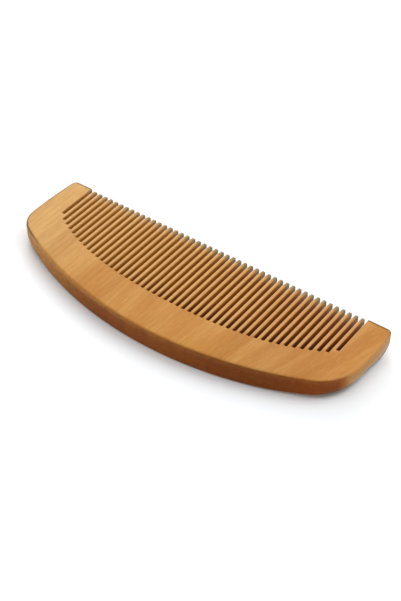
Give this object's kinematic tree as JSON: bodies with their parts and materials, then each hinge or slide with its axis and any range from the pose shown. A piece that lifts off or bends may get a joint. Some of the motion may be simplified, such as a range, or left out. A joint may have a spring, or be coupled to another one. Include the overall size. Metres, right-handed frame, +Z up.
{
  "type": "wooden comb",
  "caption": "One-piece wooden hair comb with a curved back, solid end guards and straight fine teeth sawn to a curved root line.",
  "frame": {"origin": "middle of the lower face of the comb's bounding box, lying flat", "axes": "+X along the comb from the end with the small back corner to the end with the large one, +Y from the back towards the tooth tips, +Z up out of the upper face"},
  "size_m": [0.1654, 0.0578, 0.0103],
  "materials": {
    "wood": "satin"
  },
  "bodies": {
    "root": {"comb": "wood"}
  },
  "joints": []
}
